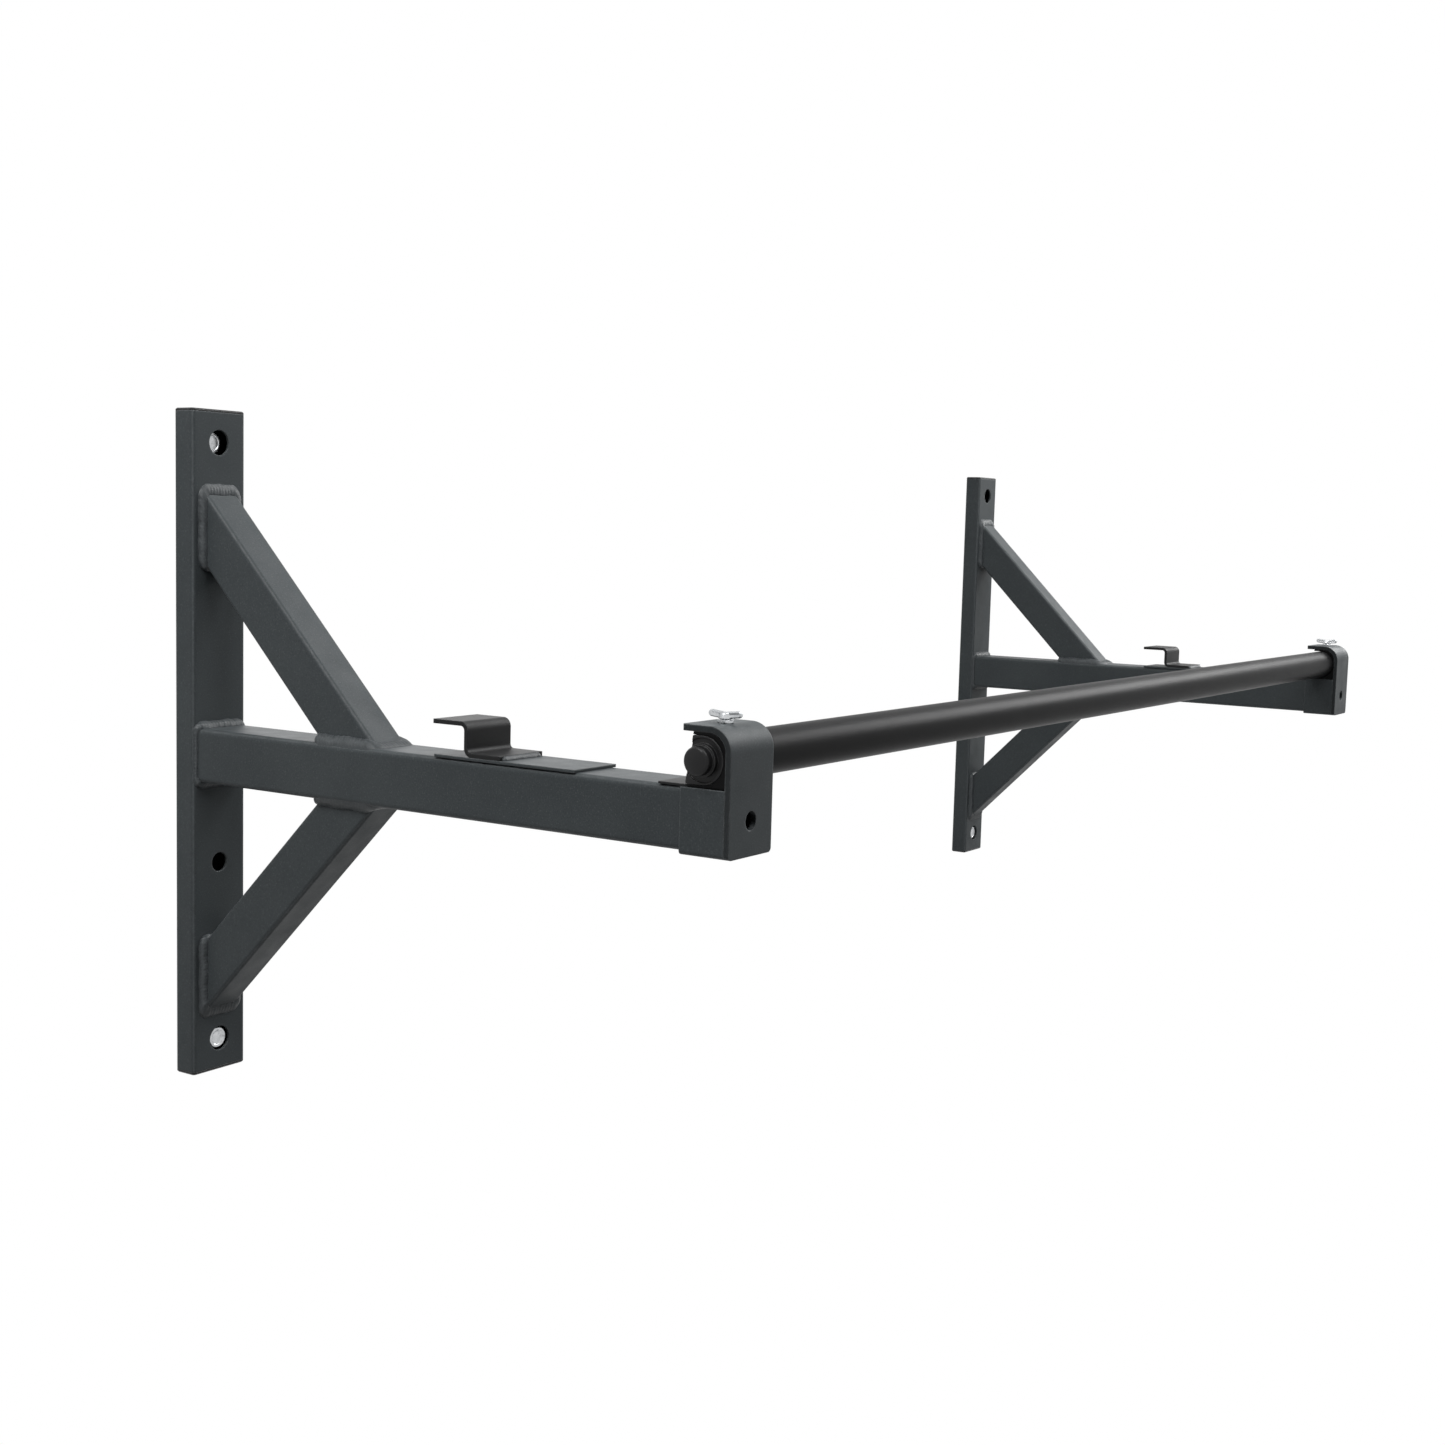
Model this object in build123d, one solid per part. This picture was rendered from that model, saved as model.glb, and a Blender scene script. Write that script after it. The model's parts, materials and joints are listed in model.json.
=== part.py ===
from build123d import *
import math
import os

# Wall-mounted pull-up bar: two welded brackets carry a straight round bar.
# X runs along the bar, the wall is the plane y = 0, the front is -Y and Z is up.
# The origin is the centre of the four wall bolts, on the wall plane.

# Overall layout
bracket_spacing = 1300.0
reach = 490.0
upright_length = 490.0
arm_below_middle = 6.0

# Upright: rectangular tube standing on the wall
upright_depth = 20.0
upright_wall = 2.0
upright_corner = 3.0
fixing_end_margin = 22.0
access_hole_d = 18.5
wall_hole_d = 9.0
spare_hole_up = 157.0
spare_access_d = 14.5
spare_wall_d = 7.0

# Plastic plugs that close the upright ends
cap_flange = 2.0
cap_insert = 12.0
cap_insert_wall = 1.6
cap_clearance = 0.2

# Arm: rectangular tube pointing to the front
arm_height = 40.0
arm_width = 44.0
arm_wall = 2.5
arm_corner = 4.0

# Diagonal braces above and below the arm
brace_depth = 38.0
brace_wall = 2.0
brace_corner = 3.0
brace_hole_gap = 25.75
brace_inset = 7.0

# Weld beads
weld_leg = 5.0
arm_side_leg = 3.0
weld_land = 0.7
weld_side_margin = 0.5
foot_weld_leg = 2.5

# Front hook: bent strip, sleeve round the arm end and seat plate
strip_thickness = 4.0
strip_bend_inside = 12.0
sleeve_thickness = 2.0
lip_past_bar = 1.0
pad_lift_room = 0.8
lip_corner = 3.0
front_hole_d = 12.0
seat_thickness = 1.5
seat_length = 50.0

# Plastic liner in the hook: round at the front, open to the back
liner_wall = 1.0
liner_foot = 0.6
liner_gap = 0.3
liner_corner_room = 0.5
liner_foot_past_bar = 12.5
liner_jaw_past_bar = 7.0

# Bar
bar_d = 30.0
bar_wall = 2.0
bar_recess = 10.0
bar_seat_gap = 0.2

# Bar end plugs: body with a flat back, rim round a sunk face, and a knob
plug_fit = 0.2
plug_insert = 22.0
plug_past_strip = 0.4
plug_rim = 1.4
plug_sink = 1.2
plug_collar_step = 1.5
plug_collar = 3.0
plug_knob_d = 18.0
plug_knob = 6.0
plug_bevel = 1.2

# Clamp screw with thrust pad and hex nut on the lip
screw_d = 6.0
screw_clearance = 0.3
screw_tip_d = 4.0
nut_flats = 10.0
nut_height = 2.0
pad_d = 9.0
pad_thickness = 1.0
pad_pocket = 0.6
pad_bar_gap = 0.3
pad_side_gap = 0.5
hub_base_d = 9.0
hub_top_d = 7.5
hub_height = 4.0
hub_nut_gap = 0.5
wing_thickness = 2.6
wing_reach = 8.0
wing_height = 4.5
wing_tilt = 6.0

# Rear hook: Z-shaped strip on a base plate
rear_web_share = 0.65
rear_strip = 3.0
rear_bend_inside = 3.0
rear_lip_length = 30.0
rear_foot_length = 27.5
rear_hook_room = 20.5
base_thickness = 2.0
base_behind_web = 26.0
base_length = 118.0

# Wall bolts
bolt_d = 8.0
bolt_thread_d = 7.6
bolt_in_wall = 50.0
bolt_head_flats = 14.8
bolt_head_height = 5.3
bolt_tip_chamfer = 1.2
bolt_clearance = 0.3
washer_d = 16.0
washer_thickness = 1.6
upper_head_recess = 7.0
lower_head_recess = 2.0
spacer_d = 12.0

# Places and sizes worked out from those above
upright_width = arm_width + 2 * arm_side_leg
brace_width = arm_width - 2 * brace_inset
top_z = upright_length / 2
bottom_z = -top_z
fixing_z = top_z - fixing_end_margin
spare_z = bottom_z + spare_hole_up
arm_z = -arm_below_middle
arm_top = arm_z + arm_height / 2
arm_bottom = arm_z - arm_height / 2
brace_run = fixing_z - access_hole_d / 2 - brace_hole_gap - arm_top
upright_front = -upright_depth
front_y = -reach
strip_back = front_y + strip_thickness
strip_width = arm_width + 2 * sleeve_thickness
bar_r = bar_d / 2
bar_y = strip_back + liner_wall + liner_gap + bar_r
seat_top = arm_top + seat_thickness
bar_z = seat_top + liner_foot + bar_seat_gap + bar_r
bar_length = bracket_spacing + strip_width - 2 * bar_recess
pad_z = bar_z + bar_r + pad_bar_gap
screw_z = pad_z + pad_thickness
lip_tip = bar_y + bar_r + lip_past_bar
lip_under = screw_z + pad_lift_room
lip_top = lip_under + strip_thickness
nut_z = lip_top
hub_z = nut_z + nut_height + hub_nut_gap
seat_end = strip_back + seat_length
brace_toe = upright_front - brace_run - weld_leg
rear_web_y = seat_end + rear_web_share * (brace_toe - seat_end)
rear_base_top = arm_top + base_thickness
rear_lip_under = rear_base_top + rear_hook_room
rear_lip_top = rear_lip_under + rear_strip
rear_lip_end = rear_web_y + rear_lip_length
washer_top = upright_wall + washer_thickness
upper_head_seat = upright_depth - upper_head_recess - bolt_head_height
lower_head_seat = upright_depth - lower_head_recess - bolt_head_height


def place(part, x):
    """Moves a part made on the plane x = 0 to its bracket."""
    return Pos(x, 0, 0) * part


def outwards(x, y, z):
    """Plane on a face that looks to the front: its X is +X and its Y is +Z."""
    return Plane(origin=(x, y, z), x_dir=(1, 0, 0), z_dir=(0, -1, 0))


def tube_section(width, height, wall, corner):
    inner = max(corner - wall, 0.5)
    hollow = RectangleRounded(width - 2 * wall, height - 2 * wall, inner)
    return RectangleRounded(width, height, corner) - hollow


def cross_hole(diameter, z, y_from, y_to):
    """Round cutter along Y between two depths."""
    return extrude(outwards(0, y_to, z) * Circle(diameter / 2), amount=y_from - y_to, dir=(0, 1, 0))


def upright():
    section = tube_section(upright_width, upright_depth, upright_wall, upright_corner)
    body = extrude(Pos(0, upright_front / 2, bottom_z) * section, amount=upright_length)
    middle = upright_front / 2
    for z in (fixing_z, -fixing_z):
        body -= cross_hole(access_hole_d, z, middle, upright_front - 1)
        body -= cross_hole(wall_hole_d, z, 1, middle)
    body -= cross_hole(spare_access_d, spare_z, middle, upright_front - 1)
    body -= cross_hole(spare_wall_d, spare_z, 1, middle)
    return body


def upright_cap():
    """Plug for the top end, standing on the tube's end face."""
    flange = extrude(RectangleRounded(upright_width, upright_depth, upright_corner), amount=cap_flange)
    flange = chamfer(flange.edges().group_by(Axis.Z)[-1], cap_flange / 2)
    plug_width = upright_width - 2 * upright_wall - 2 * cap_clearance
    plug_depth = upright_depth - 2 * upright_wall - 2 * cap_clearance
    corner = upright_corner - upright_wall
    hollow = Rectangle(plug_width - 2 * cap_insert_wall, plug_depth - 2 * cap_insert_wall)
    insert = extrude(bead_outline(plug_width, plug_depth, corner) - hollow, amount=-cap_insert)
    return Pos(0, upright_front / 2, top_z) * (flange + insert)


def arm():
    section = tube_section(arm_width, arm_height, arm_wall, arm_corner)
    return extrude(outwards(0, upright_front, arm_z) * section, amount=upright_front - strip_back)


def brace_prism(section):
    """Upper brace section run along 45 degrees and cut flat at the upright and the arm."""
    half_cut = brace_depth / math.sqrt(2)
    middle = (0, upright_front, arm_top + brace_run - half_cut)
    line = Plane(origin=middle, x_dir=(1, 0, 0), z_dir=(0, -1, -1))
    length = 2 * brace_run
    bar = extrude(line * section, amount=length, both=True)
    room = Pos(0, upright_front, arm_top) * Box(
        2 * brace_width, length, length, align=(Align.CENTER, Align.MAX, Align.MIN)
    )
    return bar & room


def upper_brace():
    return brace_prism(tube_section(brace_width, brace_depth, brace_wall, brace_corner))


def bead_outline(width, height, corner):
    """Rectangle with its corners cut."""
    return chamfer(Rectangle(width, height).vertices(), corner)


def collar(plane, tube, legs, lean, skirt):
    """Sloped bead round a tube's end, with a skirt down over the carrier's round corners."""
    width, height, corner = tube
    leg_x, leg_y = legs
    rise = leg_y
    foot = bead_outline(width + 2 * leg_x, height + 2 * leg_y, corner + rise / 2)
    crown = bead_outline(width + 2 * weld_land, height + 2 * weld_land, corner / 2)
    slope = loft([plane * foot, plane * Pos(0, lean * rise, rise) * crown], ruled=True)
    return slope + extrude(plane * foot, amount=-skirt)


def clear_outline(width, height, corner):
    """Flat-sided outline that just clears a tube's round corners."""
    return bead_outline(width, height, (2 - math.sqrt(2)) * corner)


def upright_block():
    outline = clear_outline(upright_width, upright_depth, upright_corner)
    return extrude(Pos(0, upright_front / 2, bottom_z) * outline, amount=upright_length)


def arm_block():
    outline = clear_outline(arm_width, arm_height, arm_corner)
    return extrude(outwards(0, upright_front, arm_z) * outline, amount=upright_front - strip_back)


def arm_weld():
    plane = outwards(0, upright_front, arm_z)
    legs = (arm_side_leg - weld_side_margin, weld_leg)
    bead = collar(plane, (arm_width, arm_height, arm_corner), legs, 0, upright_corner)
    return bead - arm_block() - upright_block()


def brace_welds():
    """Beads at the two ends of the upper brace."""
    cut = brace_depth * math.sqrt(2)
    brace = brace_prism(clear_outline(brace_width, brace_depth, brace_corner))
    on_upright = outwards(0, upright_front, arm_top + brace_run - cut / 2)
    on_arm = Plane(
        origin=(0, upright_front - brace_run + cut / 2, arm_top), x_dir=(1, 0, 0), z_dir=(0, 0, 1)
    )
    tube = (brace_width, cut, brace_corner)
    upper = collar(on_upright, tube, (weld_leg, weld_leg), -1, upright_corner) - upright_block()
    legs = (brace_inset - weld_side_margin, weld_leg)
    foot = collar(on_arm, tube, legs, 1, arm_corner) - arm_block()
    return [upper - brace, foot - brace]


def lower(part):
    """Mirrors a piece above the arm to the same place below it."""
    return mirror(part, about=Plane(origin=(0, 0, arm_z), z_dir=(0, 0, 1)))


def foot_weld():
    """Bead along the front end of the rear hook's foot, on the base plate."""
    y = rear_web_y - rear_foot_length
    outline = [(y, rear_base_top), (y - foot_weld_leg, rear_base_top), (y, rear_base_top + rear_strip)]
    side = Plane.YZ * make_face(Polyline(*outline, close=True))
    return extrude(side, amount=arm_width / 2 - foot_weld_leg, both=True)


def weld_beads():
    uppers = brace_welds()
    return [arm_weld()] + uppers + [lower(bead) for bead in uppers] + [foot_weld()]


def bent_strip(outline, width, bends):
    """Extrudes a strip's side outline, with each bend rounded inside and outside."""
    side = make_face(Polyline(*outline, close=True))
    for point, radius in bends:
        corner = side.vertices().sort_by_distance(Vector(point[0], point[1], 0))[0]
        side = fillet(corner, radius)
    return extrude(Plane.YZ * side, amount=width / 2, both=True)


def hook_strip():
    foot = arm_bottom - sleeve_thickness
    outline = [
        (front_y, foot),
        (front_y, lip_top),
        (lip_tip, lip_top),
        (lip_tip, lip_under),
        (strip_back, lip_under),
        (strip_back, foot),
    ]
    bends = [
        ((front_y, lip_top), strip_bend_inside + strip_thickness),
        ((strip_back, lip_under), strip_bend_inside),
    ]
    strip = bent_strip(outline, strip_width, bends)
    tip = strip.edges().filter_by(Axis.Z).group_by(Axis.Y)[-1]
    foot_corners = strip.edges().filter_by(Axis.Y).group_by(Axis.Z)[0]
    strip = fillet(tip + foot_corners, lip_corner)
    strip -= cross_hole(front_hole_d, arm_z, strip_back + 1, front_y - 1)
    bore = Cylinder(screw_d / 2 + screw_clearance, 4 * strip_thickness)
    return strip - Pos(0, bar_y, lip_top) * bore


def end_sleeve():
    """Plate bent round the sides and bottom of the arm's front end."""
    height = arm_height + sleeve_thickness
    plane = outwards(0, lip_tip, arm_top)
    outside = Pos(0, -height / 2) * Rectangle(strip_width, height)
    outside = fillet(outside.vertices().group_by(Axis.Y)[0], lip_corner)
    inside = Pos(0, -arm_height / 2) * RectangleRounded(arm_width, arm_height, arm_corner)
    upper_half = Pos(0, -arm_corner) * Rectangle(arm_width, 2 * arm_corner)
    return extrude(plane * (outside - inside - upper_half), amount=lip_tip - strip_back)


def seat_plate():
    plate = Box(arm_width, seat_length, seat_thickness, align=(Align.CENTER, Align.MIN, Align.MIN))
    return Pos(0, strip_back, arm_top) * plate


def hook_liner():
    """Block between seat, strip and lip, with a slot for the bar and a hole for the clamp pad."""
    outline = [
        (strip_back, seat_top),
        (bar_y + liner_foot_past_bar, seat_top),
        (bar_y + liner_jaw_past_bar, lip_under),
        (strip_back, lip_under),
    ]
    bends = [((strip_back, lip_under), strip_bend_inside + liner_corner_room)]
    block = bent_strip(outline, strip_width, bends)
    slot = Circle(bar_r + liner_gap) + Pos(bar_d, 0) * Rectangle(2 * bar_d, 2 * (bar_r + liner_gap))
    slot = Pos(bar_y, bar_z) * slot
    block -= extrude(Plane.YZ * slot, amount=strip_width, both=True)
    bore = Cylinder(pad_d / 2 + pad_side_gap, 4 * strip_thickness)
    return block - Pos(0, bar_y, lip_under) * bore


def lip_nut():
    hexagon = RegularPolygon(nut_flats / 2, 6, major_radius=False)
    nut = extrude(hexagon - Circle(screw_d / 2 + screw_clearance), amount=nut_height)
    return Pos(0, bar_y, nut_z) * nut


def clamp_pad():
    disc = extrude(Circle(pad_d / 2), amount=pad_thickness)
    pocket = extrude(Circle(screw_tip_d / 2 + screw_clearance), amount=pad_pocket)
    disc -= Pos(0, 0, pad_thickness - pad_pocket) * pocket
    return Pos(0, bar_y, pad_z) * disc


def wing_screw():
    tip = Pos(0, 0, -pad_pocket + screw_clearance) * extrude(
        Circle(screw_tip_d / 2), amount=pad_pocket - screw_clearance
    )
    shank = extrude(Circle(screw_d / 2), amount=hub_z - screw_z)
    hub_base = Pos(0, 0, hub_z - screw_z)
    hub = hub_base * Pos(0, 0, hub_height / 2) * Cone(hub_base_d / 2, hub_top_d / 2, hub_height)
    slot = SlotOverall(wing_reach + wing_height, wing_height)
    blade = Rot(0, 0, wing_tilt) * Pos(wing_reach / 2, 0) * slot
    wing = extrude(Plane.YZ * blade, amount=wing_thickness / 2, both=True)
    root = Pos(0, hub_top_d / 4, wing_height / 2)
    wings = [hub_base * root * wing]
    wings.append(mirror(wings[0], about=Plane.XZ))
    return Pos(0, bar_y, screw_z) * (tip + shank + hub + wings[0] + wings[1])


def rear_hook():
    """Z-shaped strip: lip towards the wall, web, and foot towards the front."""
    web_back = rear_web_y + rear_strip
    foot_end = rear_web_y - rear_foot_length
    foot_top = rear_base_top + rear_strip
    outline = [
        (foot_end, rear_base_top),
        (web_back, rear_base_top),
        (web_back, rear_lip_under),
        (rear_lip_end, rear_lip_under),
        (rear_lip_end, rear_lip_top),
        (rear_web_y, rear_lip_top),
        (rear_web_y, foot_top),
        (foot_end, foot_top),
    ]
    outside = rear_bend_inside + rear_strip
    bends = [
        ((web_back, rear_base_top), outside),
        ((web_back, rear_lip_under), rear_bend_inside),
        ((rear_web_y, rear_lip_top), outside),
        ((rear_web_y, foot_top), rear_bend_inside),
    ]
    return bent_strip(outline, arm_width, bends)


def base_plate():
    plate = Box(arm_width, base_length, base_thickness, align=(Align.CENTER, Align.MAX, Align.MIN))
    return Pos(0, rear_web_y + rear_strip + base_behind_web, arm_top) * plate


def into_wall(part, z):
    """Turns a part made along +Z so that it points into the wall at a fixing height."""
    return Pos(0, 0, z) * Rot(-90, 0, 0) * part


def wall_bolt(seat, turn):
    """Hex bolt whose head sits a given distance in front of the wall, with its thread in the wall."""
    hexagon = Rot(0, 0, turn) * RegularPolygon(bolt_head_flats / 2, 6, major_radius=False)
    head = Pos(0, 0, -seat - bolt_head_height) * extrude(hexagon, amount=bolt_head_height)
    shank = Pos(0, 0, -seat) * extrude(Circle(bolt_d / 2), amount=seat)
    thread = extrude(Circle(bolt_thread_d / 2), amount=bolt_in_wall)
    thread = chamfer(thread.edges().group_by(Axis.Z)[-1], bolt_tip_chamfer)
    return head + shank + thread


def wall_bolts():
    upper_bolt = into_wall(wall_bolt(upper_head_seat, 0), fixing_z)
    lower_bolt = into_wall(wall_bolt(lower_head_seat, 30), -fixing_z)
    return [upper_bolt, lower_bolt]


def bolt_ring(outside_d, near_wall, far_from_wall):
    """Ring round a wall bolt between two distances from the wall."""
    section = Circle(outside_d / 2) - Circle(bolt_d / 2 + bolt_clearance)
    return Pos(0, 0, -far_from_wall) * extrude(section, amount=far_from_wall - near_wall)


def wall_washers():
    ring = bolt_ring(washer_d, upright_wall, washer_top)
    return [into_wall(ring, z) for z in (fixing_z, -fixing_z)]


def bolt_spacers():
    """Distance sleeves that bring the bolt heads up towards their access holes."""
    upper_spacer = into_wall(bolt_ring(spacer_d, washer_top, upper_head_seat), fixing_z)
    lower_spacer = into_wall(bolt_ring(spacer_d, washer_top, lower_head_seat), -fixing_z)
    return [upper_spacer, lower_spacer]


def pull_up_bar():
    section = Circle(bar_r) - Circle(bar_r - bar_wall)
    axis = Plane(origin=(0, bar_y, bar_z), x_dir=(0, 1, 0), z_dir=(1, 0, 0))
    return extrude(axis * section, amount=bar_length / 2, both=True)


def behind_liner():
    """Cutter for all that lies behind the slanted back edge of the hook liner."""
    far = bar_y + 2 * bar_d
    foot = bar_y + liner_foot_past_bar
    jaw = bar_y + liner_jaw_past_bar
    outline = [(foot, seat_top), (far, seat_top), (far, lip_under), (jaw, lip_under)]
    return extrude(Plane.YZ * make_face(Polyline(*outline, close=True)), amount=bar_length)


def bar_plug():
    """Stepped plastic plug in the right end of the bar."""
    end = Plane(origin=(bar_length / 2, bar_y, bar_z), x_dir=(0, 1, 0), z_dir=(1, 0, 0))
    insert = Pos(0, 0, -plug_insert) * extrude(Circle(bar_r - bar_wall - plug_fit), amount=plug_insert)
    body_length = bar_recess + plug_past_strip
    outline = Circle(bar_r) + Pos(bar_r, 0) * Rectangle(bar_d, bar_d)
    body = extrude(outline, amount=body_length)
    floor = Pos(0, 0, body_length - plug_sink)
    body -= floor * extrude(Circle(bar_r - plug_rim), amount=plug_sink)
    body += floor * extrude(Circle(plug_knob_d / 2 + plug_collar_step), amount=plug_collar)
    knob = floor * extrude(Circle(plug_knob_d / 2), amount=plug_collar + plug_knob)
    knob = chamfer(knob.edges().group_by(Axis.Z)[-1], plug_bevel)
    return end.location * body - behind_liner() + end.location * knob + end.location * insert


def bracket_pieces():
    """Every piece of one bracket, on the plane x = 0."""
    cap = upright_cap()
    brace = upper_brace()
    return {
        "upright": [upright()],
        "upright_top_cap": [cap],
        "upright_bottom_cap": [mirror(cap, about=Plane.XY)],
        "arm": [arm()],
        "upper_brace": [brace],
        "lower_brace": [lower(brace)],
        "weld_beads": weld_beads(),
        "hook_strip": [hook_strip()],
        "end_sleeve": [end_sleeve()],
        "seat_plate": [seat_plate()],
        "hook_liner": [hook_liner()],
        "lip_nut": [lip_nut()],
        "clamp_pad": [clamp_pad()],
        "wing_screw": [wing_screw()],
        "rear_hook": [rear_hook()],
        "rear_base_plate": [base_plate()],
        "wall_bolts": wall_bolts(),
        "wall_washers": wall_washers(),
        "bolt_spacers": bolt_spacers(),
    }


def all_nodes():
    nodes = {}
    pieces = bracket_pieces()
    plug = bar_plug()
    plugs = {"left": mirror(plug, about=Plane.YZ), "right": plug}
    for name, side in (("left", -1), ("right", 1)):
        for piece, solids in pieces.items():
            nodes[f"{name}_{piece}"] = [place(solid, side * bracket_spacing / 2) for solid in solids]
        nodes[f"{name}_bar_plug"] = [plugs[name]]
    nodes["pull_up_bar"] = [pull_up_bar()]
    return nodes


os.makedirs("parts", exist_ok=True)
for node, solids in all_nodes().items():
    shape = solids[0] if len(solids) == 1 else Compound(children=solids)
    export_step(shape, f"parts/{node}.step")
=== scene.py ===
import json
import math

import bmesh
import bpy
from mathutils import Matrix, Vector


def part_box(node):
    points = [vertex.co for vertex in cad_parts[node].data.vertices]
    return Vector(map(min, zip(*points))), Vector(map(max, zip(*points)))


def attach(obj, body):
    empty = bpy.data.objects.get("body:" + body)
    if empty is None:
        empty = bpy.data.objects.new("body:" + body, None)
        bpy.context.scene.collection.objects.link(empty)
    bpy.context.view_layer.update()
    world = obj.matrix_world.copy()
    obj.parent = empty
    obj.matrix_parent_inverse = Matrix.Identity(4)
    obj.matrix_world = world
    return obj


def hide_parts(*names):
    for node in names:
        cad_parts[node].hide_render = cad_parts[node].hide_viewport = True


# Wall-mounted pull-up bar, in metres
# X runs along the bar, the wall is the plane y = 0, the front is -Y and Z is up.
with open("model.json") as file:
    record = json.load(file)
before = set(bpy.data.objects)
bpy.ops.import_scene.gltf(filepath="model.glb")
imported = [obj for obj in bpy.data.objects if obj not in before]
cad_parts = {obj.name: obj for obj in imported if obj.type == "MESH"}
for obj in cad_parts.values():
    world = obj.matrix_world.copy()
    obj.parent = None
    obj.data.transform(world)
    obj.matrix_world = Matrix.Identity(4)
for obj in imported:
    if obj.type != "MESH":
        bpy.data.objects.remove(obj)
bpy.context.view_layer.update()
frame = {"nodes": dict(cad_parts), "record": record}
nodes = frame["nodes"]
mounts = {mount["name"]: mount for mount in frame["record"]["mounts"]}
X, Y, Z = Vector((1, 0, 0)), Vector((0, 1, 0)), Vector((0, 0, 1))
MILLIMETRE = 0.001
SAME_PLACE = 1e-7

# Edges up to these angles are shaded round, in degrees
WELD_SMOOTH, HEX_SMOOTH, SCREW_SMOOTH, PLUG_SMOOTH = 60.0, 30.0, 50.0, 40.0

# Brackets: places and sizes taken from the frame
upright_low, upright_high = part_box("left_upright")
arm_low, arm_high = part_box("left_arm")
brace_low, brace_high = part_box("left_upper_brace")
rear_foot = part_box("left_rear_hook")[0]
BRACKET_X = -(upright_low.x + upright_high.x) / 2
SIDES = (("left", -BRACKET_X), ("right", BRACKET_X))
UPRIGHT_FRONT = upright_low.y
UPRIGHT_HALF = (upright_high.x - upright_low.x) / 2
ARM_TOP, ARM_BOTTOM = arm_high.z, arm_low.z
ARM_Z = (ARM_TOP + ARM_BOTTOM) / 2
ARM_HALF_WIDTH = (arm_high.x - arm_low.x) / 2
ARM_HALF_HEIGHT = (ARM_TOP - ARM_BOTTOM) / 2
BRACE_HALF = (brace_high.x - brace_low.x) / 2
BRACE_RUN = brace_high.z - ARM_TOP
BRACE_DEPTH = 0.038
BRACE_CUT = BRACE_DEPTH * math.sqrt(2)
UPRIGHT_CORNER, ARM_CORNER, BRACE_CORNER = 0.003, 0.004, 0.003

# Weld beads: legs are their widths on the two plates that they join
WELD_LEG = 0.0050
ARM_SIDE_LEG, BRACE_SIDE_LEG = 0.0024, 0.0064
FOOT_LEG, FOOT_RISE = 0.0025, 0.0028
FOOT_WELD_HALF = ARM_HALF_WIDTH - FOOT_LEG
WELD_SEEDS = {"left": 1.0, "right": 4.0}
BEAD_STEP, BEAD_ROWS = 0.0007, 8
LEG_WOBBLE, CROWN_SHARE, CROWN_WOBBLE, CROWN_SHIFT = 0.09, 0.92, 0.06, 1.3
BEAD_SINK, ROOT_SINK, ROOT_BACK = 0.0002, 0.0003, 0.0004
FOOT_STEP, FOOT_ROWS, FOOT_WOBBLE = 0.0006, 6, 0.1
FOOT_SINK, FOOT_BACK = 0.0002, 0.0003
FOOT_END, FOOT_END_LEAST = 0.0025, 0.02
TUBE_RIPPLE = {"pitch": 0.0027, "bow": 0.45, "bulge": 0.0009, "height": 0.00062}
FOOT_RIPPLE = {"pitch": 0.0021, "bow": 0.4, "bulge": 0.0005, "height": 0.00025}
SCALLOP_POWER, SCALLOP_MEAN, ARCH_POWER = 0.6, 0.55, 0.5
# Share, rate along the bead and seed factor of each wave
WOBBLE_WAVES = ((0.5, 260.0, 1.0), (0.3, 610.0, 2.1), (0.2, 1130.0, 3.7))

# Hexagons and threads
HEX_POINTS, ROUND_POINTS = 72, 28
HEX_FACE_SHARE = 0.97
CHAMFER_SLOPE = math.tan(math.radians(30))
CREST_FLAT = 1.25

# Wall bolts: head seats are distances in front of the wall, and the upper head sits deeper in its hole
FIXING_Z = mounts["wall_bolts"]["dims"]["spacing_y_mm"] / 2 * MILLIMETRE
BOLT_IN_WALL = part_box("left_wall_bolts")[1].y
UPPER_HEAD_DEEPER = 0.005
LOWER_SEAT = -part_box("left_bolt_spacers")[0].y
UPPER_SEAT = LOWER_SEAT - UPPER_HEAD_DEEPER
UPPER_TURN, LOWER_TURN = 0.0, math.pi / 6
BOLT_FLATS, BOLT_HEAD_HEIGHT = 0.0148, 0.0053
DISH_RIM_SHARE, DISH_FLOOR_SHARE, DISH_CENTRE_SHARE, DISH_DEPTH = 0.80, 0.72, 0.02, 0.00035
BOLT_RADIUS, BOLT_NECK_BEVEL = 0.0040, 0.0004
BOLT_THREAD_RADIUS, BOLT_THREAD_DEPTH, BOLT_PITCH = 0.00392, 0.00062, 0.00125
BOLT_THREAD_START, BOLT_ROWS_PER_PITCH = 0.0002, 5
BOLT_TIP_RADIUS, BOLT_TIP_BEVEL = 0.0026, 0.0012

# Bar and its end plugs: levels are distances from the bar's end, and the back is slanted like the liner's
bar_low, bar_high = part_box("pull_up_bar")
plug_low, plug_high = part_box("left_bar_plug")
liner_low, liner_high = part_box("left_hook_liner")
BAR_END = bar_high.x
BAR_RADIUS = (bar_high.y - bar_low.y) / 2
BAR_Y, BAR_Z = (bar_low.y + bar_high.y) / 2, (bar_low.z + bar_high.z) / 2
LINER_FOOT_PAST_BAR = liner_high.y - BAR_Y
LINER_JAW_PAST_BAR = 0.007
PLUG_SLANT = (LINER_FOOT_PAST_BAR - LINER_JAW_PAST_BAR) / (liner_high.z - liner_low.z)
PLUG_BACK = LINER_FOOT_PAST_BAR - PLUG_SLANT * (BAR_Z - liner_low.z)
PLUG_INSERT = plug_high.x - bar_low.x
PLUG_TOP, PLUG_RIM, PLUG_SINK, PLUG_COLLAR = 0.0104, 0.0014, 0.0012, 0.0030
PLUG_FLOOR = PLUG_TOP - PLUG_SINK
COLLAR_TOP = PLUG_FLOOR + PLUG_COLLAR
KNOB_TOP = bar_low.x - plug_low.x
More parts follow.
